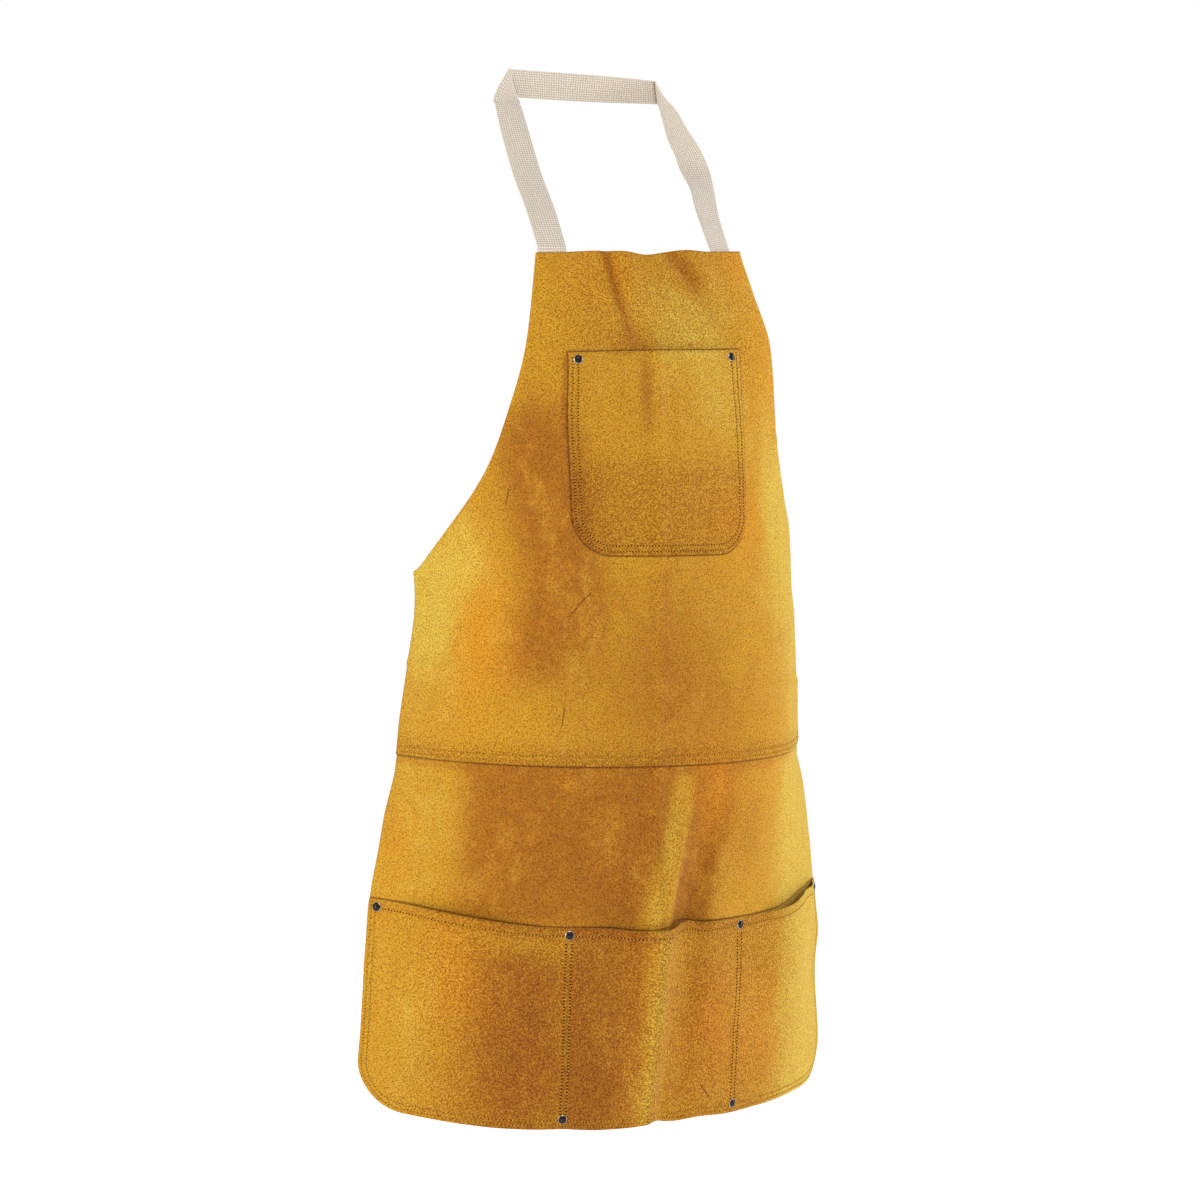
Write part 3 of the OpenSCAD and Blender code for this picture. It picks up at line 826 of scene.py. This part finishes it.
def hole_shade_material():
    """Painted shade at the bottom of a needle's hole."""
    material, add, shader = new_material("needle_hole")
    place = add("ShaderNodeTexCoord").outputs["Object"]
    colour = blend_colour(add, noise(add, place, 500.0), (0.022, 0.008, 0.003), (0.07, 0.024, 0.005))
    plug(shader, "Base Color", colour)
    shader.inputs["Roughness"].default_value = 1.0
    shader.inputs["Specular IOR Level"].default_value = 0.0
    return material


def nickel_material():
    """Nickel cap, painted dark in the middle for the dark reflection of its dome, and rubbed bright towards
    its rim.
    """
    material, add, shader = new_material("nickel_rivet")
    place = add("ShaderNodeTexCoord").outputs["Object"]
    scratch = noise(add, scaled(add, place, (1, 1, 6)), 900.0, 3.0)
    stain = noise(add, place, 260.0, 3.0)
    away = add("ShaderNodeAttribute", attribute_name="from_axis").outputs["Fac"]
    rubbed = ramp(add, maths(add, "MULTIPLY_ADD", stain, 1.4, away), 4.75, 5.35)
    # The near-black colour is the painted dark reflection in the cap's middle; the lighter one is its worn
    # rim.
    colour = blend_colour(add, rubbed, (0.034, 0.026, 0.022), (0.52, 0.50, 0.46))
    plug(shader, "Base Color", colour)
    plug(shader, "Roughness", maths(add, "MULTIPLY_ADD", scratch, 0.22, 0.12))
    shader.inputs["Metallic"].default_value = 1.0
    raise_surface(add, shader, maths(add, "MULTIPLY", scratch, 0.00005))
    return material


NAP = suede_nap_group()
GROOVE = seam_groove_group()
OVERLAP_SHADOW = overlap_shadow_group()
FINISH = {
    "leather": split_leather(),
    "webbing": webbing_material(),
    "thread": thread_material(),
    "needle_hole": hole_shade_material(),
    "nickel": nickel_material(),
}


# ---------------------------------------------------------------- camera and studio
def studio():
    """Camera, white floor and air, and three softboxes."""
    centre = Vector((0, TOP_Y + 118, TOP_Z + 175)) * MM
    azimuth, tilt, away, drop = math.radians(-27.26), math.radians(2.6), 3.3, 0.687
    camera = bpy.data.objects.new("camera", bpy.data.cameras.new("camera"))
    camera.location = centre + Vector((away * math.sin(azimuth), -away * math.cos(azimuth), -drop))
    camera.rotation_euler = (math.pi / 2 + tilt, 0, azimuth)
    camera.data.lens = 91.56
    camera.data.clip_end = 60
    bpy.context.scene.collection.objects.link(camera)
    bpy.context.scene.camera = camera

    floor_z, radius, sides = (TOP_Z - APRON_LEN - 420) * MM, 14, 64
    angles = [2 * math.pi * k / sides for k in range(sides)]
    ring = [(radius * math.cos(a), radius * math.sin(a), floor_z) for a in angles]
    paint, add, shader = new_material("floor_paint")
    shader.inputs["Base Color"].default_value = (0.94, 0.94, 0.94, 1)
    shader.inputs["Roughness"].default_value = 0.9
    shader.inputs["Emission Color"].default_value = (1, 1, 1, 1)
    shader.inputs["Emission Strength"].default_value = 0.55
    mesh_object("floor", ring, [tuple(range(sides))], paint)

    world = bpy.data.worlds.new("studio_air")
    world.use_nodes = True
    bpy.context.scene.world = world
    tree = world.node_tree
    tree.nodes.clear()
    add = node_tree(tree)
    lit = add("ShaderNodeBackground", {"Color": (1, 1, 1, 1), "Strength": 0.55})
    seen = add("ShaderNodeBackground", {"Color": (1, 1, 1, 1), "Strength": 1.0})
    mix = add("ShaderNodeMixShader", {0: add("ShaderNodeLightPath").outputs["Is Camera Ray"],
                                      1: lit.outputs[0], 2: seen.outputs[0]})
    add("ShaderNodeOutputWorld", {0: mix.outputs[0]})

    def softbox(name, place, size, power):
        light = bpy.data.lights.new(name, "AREA")
        light.shape, light.size, light.size_y, light.energy = "RECTANGLE", size[0], size[1], power
        lamp = bpy.data.objects.new(name, light)
        lamp.location = place
        aim = Vector((0, -0.1, -0.65)) - Vector(place)
        lamp.rotation_euler = aim.to_track_quat("-Z", "Y").to_euler()
        bpy.context.scene.collection.objects.link(lamp)

    softbox("softbox_right", (2.6, -0.9, -0.1), (0.8, 2.2), 38)
    softbox("softbox_left", (-2.7, -0.5, -0.2), (0.8, 2.2), 30)
    softbox("softbox_above", (-0.6, -2.2, 1.6), (1.6, 1.2), 26)
    bpy.context.scene.view_settings.view_transform = "Standard"


studio()


def over_seam(obj):
    """A piece that crosses the lapped seam: its placement baked into its mesh, on neither body."""
    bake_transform(obj)


def leather_panels():
    """The two panels that the lapped seam joins; the upper one lies over the lower one there."""
    bib, bib_area = leather_sheet("upper_panel", rows(0, SEAM_T, 3.6), 170, panel_w,
                                  bib_off, from_seam, panel_grain)
    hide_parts("bib_panel")
    over_seam(bib)
    skirt, skirt_area = leather_sheet("lower_panel", rows(SEAM_T - LAP, APRON_LEN, 3.6, HEM_R), 170,
                                      panel_w, skirt_off, unsewn, skirt_grain)
    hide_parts("skirt_panel")
    over_seam(skirt)


def pockets():
    """The chest pocket on the bib and the full-width pocket on the skirt."""
    low = CHEST_TOP + CHEST_DEEP
    from_edge = outline_distance(CHEST_HALF, CHEST_R, low)
    chest, chest_area = leather_sheet("chest_pocket_leather", rows(CHEST_TOP, low, 2.8, CHEST_R), 76,
                                      chest_w, chest_off, from_edge, chest_grain)
    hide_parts("chest_pocket")
    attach(chest, "bib")
    from_edge = outline_distance(HALF_W, HEM_R, APRON_LEN)
    skirt, skirt_area = leather_sheet("skirt_pocket_leather", rows(MOUTH_T, APRON_LEN, 3.0, HEM_R), 204,
                                      panel_w, pocket_off, from_edge, pocket_grain)
    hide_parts("skirt_pocket")
    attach(skirt, "skirt")


def stitching():
    """Every row of thread: pockets, seam, dividers, and the tacks of the strap and the waist ties."""
    low = CHEST_TOP + CHEST_DEEP

    def sew(name, node, body, paths, off_at, pull):
        for part in stitch_piece(name, paths, off_at, pull):
            if body:
                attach(part, body)
            else:
                over_seam(part)
            if not part.name.endswith("_holes"):
                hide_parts(node)

    for label, inset in (("outer", EDGE_ROW), ("inner", EDGE_ROW + ROW_GAP)):
        path = u_path(CHEST_HALF, CHEST_R, CHEST_TOP + 3, low, inset)
        sew(f"chest_{label}_thread", f"chest_pocket_{label}_stitch", "bib", [path], chest_off, 0.9)
    for label, up in (("lower", EDGE_ROW), ("upper", EDGE_ROW + ROW_GAP)):
        path = [(SEAM_T - up, s) for s in np.linspace(-HALF_W + 3, HALF_W - 3, 60)]
        sew(f"seam_{label}_thread", f"seam_{label}_stitch", None, [path], bib_off, 0.55)
    mouth = [(MOUTH_T + 9, s) for s in np.linspace(-HALF_W + 3, HALF_W - 3, 90)]
    sew("pocket_mouth_thread", "pocket_mouth_stitch", "skirt", [mouth], pocket_off, 0.85)
    for label, inset in (("outer", EDGE_ROW), ("inner", EDGE_ROW + ROW_GAP - 1)):
        path = u_path(HALF_W, HEM_R, MOUTH_T + 3, APRON_LEN, inset)
        sew(f"border_{label}_thread", f"pocket_border_{label}_stitch", "skirt", [path], pocket_off, 0.6)
    for label, side in (("left", -1), ("right", 1)):
        pair = [[(t, side * DIVIDER_S + k * ROW_GAP / 2) for t in (MOUTH_T + 14, APRON_LEN - 12)]
                for k in (-1, 1)]
        sew(f"divider_thread_{label}", f"divider_stitch_{label}", "skirt", pair, pocket_off, 1.15)

        middle = STRAP_S[0] if side < 0 else STRAP_S[1]
        zigzag = [[(7 + k * 4.2 + 1.3 * (j % 2), middle - 12 + 3 * j) for j in range(9)] for k in range(3)]
        sew(f"strap_tack_thread_{label}", f"strap_tack_{label}", "bib", zigzag, bib_off, 0)
        inner_s, outer_s = sorted((side * (HALF_W - 8), side * (HALF_W - SEWN)))
        high, low_t = TIE_T + 4, TIE_T + TIE_W - 4
        box = [[(high, inner_s), (high, outer_s)], [(low_t, inner_s), (low_t, outer_s)],
               [(high, inner_s), (low_t, outer_s)], [(high, outer_s), (low_t, inner_s)]]
        sew(f"waist_tack_thread_{label}", f"waist_tack_{label}", "bib", box, bib_off, 0)


def tape_spread(width):
    """Positions across a tape, in millimetres, closer together at the selvedges."""
    return np.sin(np.linspace(-1, 1, 19) * math.pi / 2) * width / 2


def tape_faces(u, width, thick):
    """The two faces of a tape with softly rounded selvedges: each one's side and how far it stands off."""
    body = thick / 2 * (1 - 0.6 * np.abs(2 * u / width) ** 12)
    return [(-1, body), (1, body)]


def tape_mesh(name, faces_at, u):
    """A closed tape from the point grids of its two faces, laid out flat along its run."""
    back, front = faces_at
    n, m = back.shape[:2]
    middle = (back[:, m // 2] + front[:, m // 2]) / 2
    run = np.concatenate([[0], np.cumsum(np.linalg.norm(np.diff(middle, axis=0), axis=1))])
    faces = grid_faces(n, m, flip=True) + grid_faces(n, m, n * m)
    for a, b in rim(n, m):
        faces.append((a, b, b + n * m, a + n * m))
    verts = np.concatenate([back.reshape(-1, 3), front.reshape(-1, 3)])
    obj = mesh_object(name, verts, faces, FINISH["webbing"])
    lay_flat(obj, np.tile(np.tile(u * MM, n), 2), np.tile(np.repeat(run, m), 2))
    return obj


# The strap's three runs, folded where they meet: up from its left end, over the nape and down to its right
# end. Each station is a centre point, as shares of the span from that end, and the way a row runs across.
STRAP_RUNS = [
    [((-1, 0, 0), (1, -0.34, 0)), ((-1, 0.2, 0.22), (1, -0.38, 0)), ((-0.985, 0.47, 0.45), (1, -0.42, 0)),
     ((-0.97, 0.7, 0.69), (1, -0.4, -0.05)), ((-0.955, 0.86, 0.865), (1, -0.15, -0.05)),
     ((-0.94, 0.92, 0.915), (1, 0, -0.06)), ((-0.82, 1, 1.03), (0.33, 0.16, -0.93))],
    [((-0.82, 1, 1.03), (0.33, 0.16, -0.93)), ((-0.41, 1.01, 1.04), (0.12, 0.25, -1)),
     ((0, 1.01, 1.05), (0.08, 0.42, -0.95)), ((0.47, 1.01, 1.06), (0.2, 0.55, -0.8)),
     ((0.94, 0.985, 1.065), (0.45, 0.64, -0.62))],
    [((0.94, 0.985, 1.065), (0.45, 0.64, -0.62)), ((0.99, 0.95, 1.0), (0.3, 0.92, -0.25)),
     ((1.04, 0.88, 0.91), (0, 0.96, -0.3)), ((1.05, 0.76, 0.79), (-0.2, 0.97, -0.15)),
     ((1.075, 0.63, 0.67), (-0.4, 0.91, -0.08)), ((1.08, 0.53, 0.565), (-0.76, 0.65, 0)),
     ((1.065, 0.38, 0.42), (-1, 0, 0)), ((1.01, 0.22, 0.25), (-1, -0.17, 0)), ((1, 0, 0), (-1, -0.3, 0))]]


def through(points, steps):
    """A smooth curve through given points."""
    points = np.array(points, float)
    ends = np.concatenate([points[:1], points, points[-1:]])
    out = []
    for i in range(len(points) - 1):
        a, b, c, d = ends[i:i + 4]
        for u in np.arange(steps) / steps:
            out.append(0.5 * (2 * b + (c - a) * u + (2 * a - 5 * b + 4 * c - d) * u * u
                              + (3 * b - a - 3 * c + d) * u ** 3))
    return np.array(out + [points[-1]])


def unit(v):
    return v / np.linalg.norm(v, axis=-1, keepdims=True)


def creased(points):
    """The same points with one more close to either end, so that a fold there stays crisp."""
    first, last = points[0] * 0.92 + points[1] * 0.08, points[-1] * 0.92 + points[-2] * 0.08
    return np.concatenate([points[:1], [first], points[1:-1], [last], points[-1:]])


def strap_run(stations, ends):
    """Centre points, rows across and outward directions along one run of the strap."""
    centre = []
    for (x, y, z), _ in stations:
        end = ends[0] if x < 0 else ends[1]
        centre.append((abs(end[0]) * x, end[1] * (1 - y), end[2] * (1 - z)))
    centre = creased(through(centre, 6))
    row = unit(creased(through([w for _, w in stations], 6)))
    run = unit(np.gradient(centre, axis=0))
    face = np.cross(row, run)
    lean = np.linalg.norm(face, axis=1, keepdims=True)
    return centre, row / np.maximum(lean, 0.8), face / lean


def neck_strap():
    """One length of webbing, sewn behind both corners of the bib and looped over the nape."""
    behind, gap = -0.05 - STRAP_THICK / 2, 2.0
    ends = [drape(np.array(-gap), np.array(s), behind) for s in STRAP_S]
    left, nape, right = [strap_run(stations, ends) for stations in STRAP_RUNS]
    centre, row, face = (np.concatenate([a, b[1:], c[1:]]) for a, b, c in zip(left, nape, right))
    first_fold = len(left[0]) - 1
    second_fold = first_fold + len(nape[0]) - 1
    for before, after, k in ((left, nape, first_fold), (nape, right, second_fold)):
        face[k] = unit(before[2][-1] + after[2][0])
    u = tape_spread(STRAP_W)
    faces = []
    for sign, body in tape_faces(u, STRAP_W, STRAP_THICK):
        free = (centre[:, None, :] + row[:, None, :] * u[None, :, None]
                + face[:, None, :] * (sign * body)[None, :, None]) * MM
        sewn_t = np.array([SEWN, 24, 18, 12, 7, 3, 0.5])
        left_end = skin(sewn_t[:, None], STRAP_S[0] + u[None, :], behind + sign * body[None, :])
        right_end = skin(sewn_t[::-1, None], STRAP_S[1] - u[None, :], behind + sign * body[None, :])
        faces.append(np.concatenate([left_end, free, right_end]))
    tape = tape_mesh("neck_strap_tape", faces, u)
    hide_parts("neck_strap", "strap_end_left", "strap_end_right")
    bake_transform(tape)


def waist_ties():
    """Short sewn ends of the waist ties, behind the panel's side corners."""
    u = tape_spread(TIE_W)
    for label, side in (("left", -1), ("right", 1)):
        s = (HALF_W - np.linspace(4, 34, 13)) * side
        faces = []
        for sign, body in tape_faces(u, TIE_W, STRAP_THICK):
            off = -0.35 - STRAP_THICK / 2 + sign * body[None, :]
            faces.append(skin(TIE_T + TIE_W / 2 - side * u[None, :] + 0 * s[:, None], s[:, None], off))
        patch = tape_mesh(f"waist_tie_tape_{label}", faces, u)
        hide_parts(f"waist_tie_end_{label}")
        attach(patch, "bib")


def lathe(profile, sides=40):
    """A turned piece from its (radius, height) profile."""
    verts = [(r * math.cos(2 * math.pi * j / sides), r * math.sin(2 * math.pi * j / sides), h)
             for r, h in profile for j in range(sides)]
    return np.array(verts), tube_faces(len(profile), sides)


def rivets():
    """Domed caps on the pockets and, behind the leather, their rolled feet."""
    cap = [(4.3, 0.0), (4.75, 0.12), (4.8, 0.42), (4.6, 0.66), (4.25, 0.82), (3.9, 1.15), (3.3, 1.62),
           (2.5, 2.02), (1.6, 2.27), (0.8, 2.38), (0.25, 2.4)]
    foot = [(0.3, -0.72), (1.2, -0.7), (1.9, -0.75), (2.4, -0.95), (3.7, -0.9), (4.0, -0.7), (4.0, -0.25),
            (3.6, -0.1)]
    groups = (("chest", CHEST_RIVETS, chest_off, bib_off, "bib"),
              ("mouth", MOUTH_RIVETS, pocket_off, skirt_off, "skirt"),
              ("hem", HEM_RIVETS, pocket_off, skirt_off, "skirt"))
    for label, places, front, rear, body in groups:
        t, s = (np.array(v, float) for v in zip(*places))
        out = outward(t, s, front)
        up = np.tile((0.0, 0.0, 1.0), (len(t), 1))
        forward = unit(up - out * np.sum(up * out, 1, keepdims=True))
        on_face, behind = skin(t, s, front(t, s) + LEATHER), skin(t, s, rear(t, s))
        caps = scatter(f"{label}_rivet_domes", lathe(cap), (on_face, forward, out), FINISH["nickel"])
        feet = scatter(f"{label}_rivet_feet", lathe(foot), (behind, forward, out), FINISH["nickel"])
        for piece, node in ((caps, f"{label}_rivet_caps"), (feet, f"{label}_rivet_posts")):
            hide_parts(node)
            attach(piece, body)


neck_strap()
leather_panels()
pockets()
stitching()
waist_ties()
rivets()
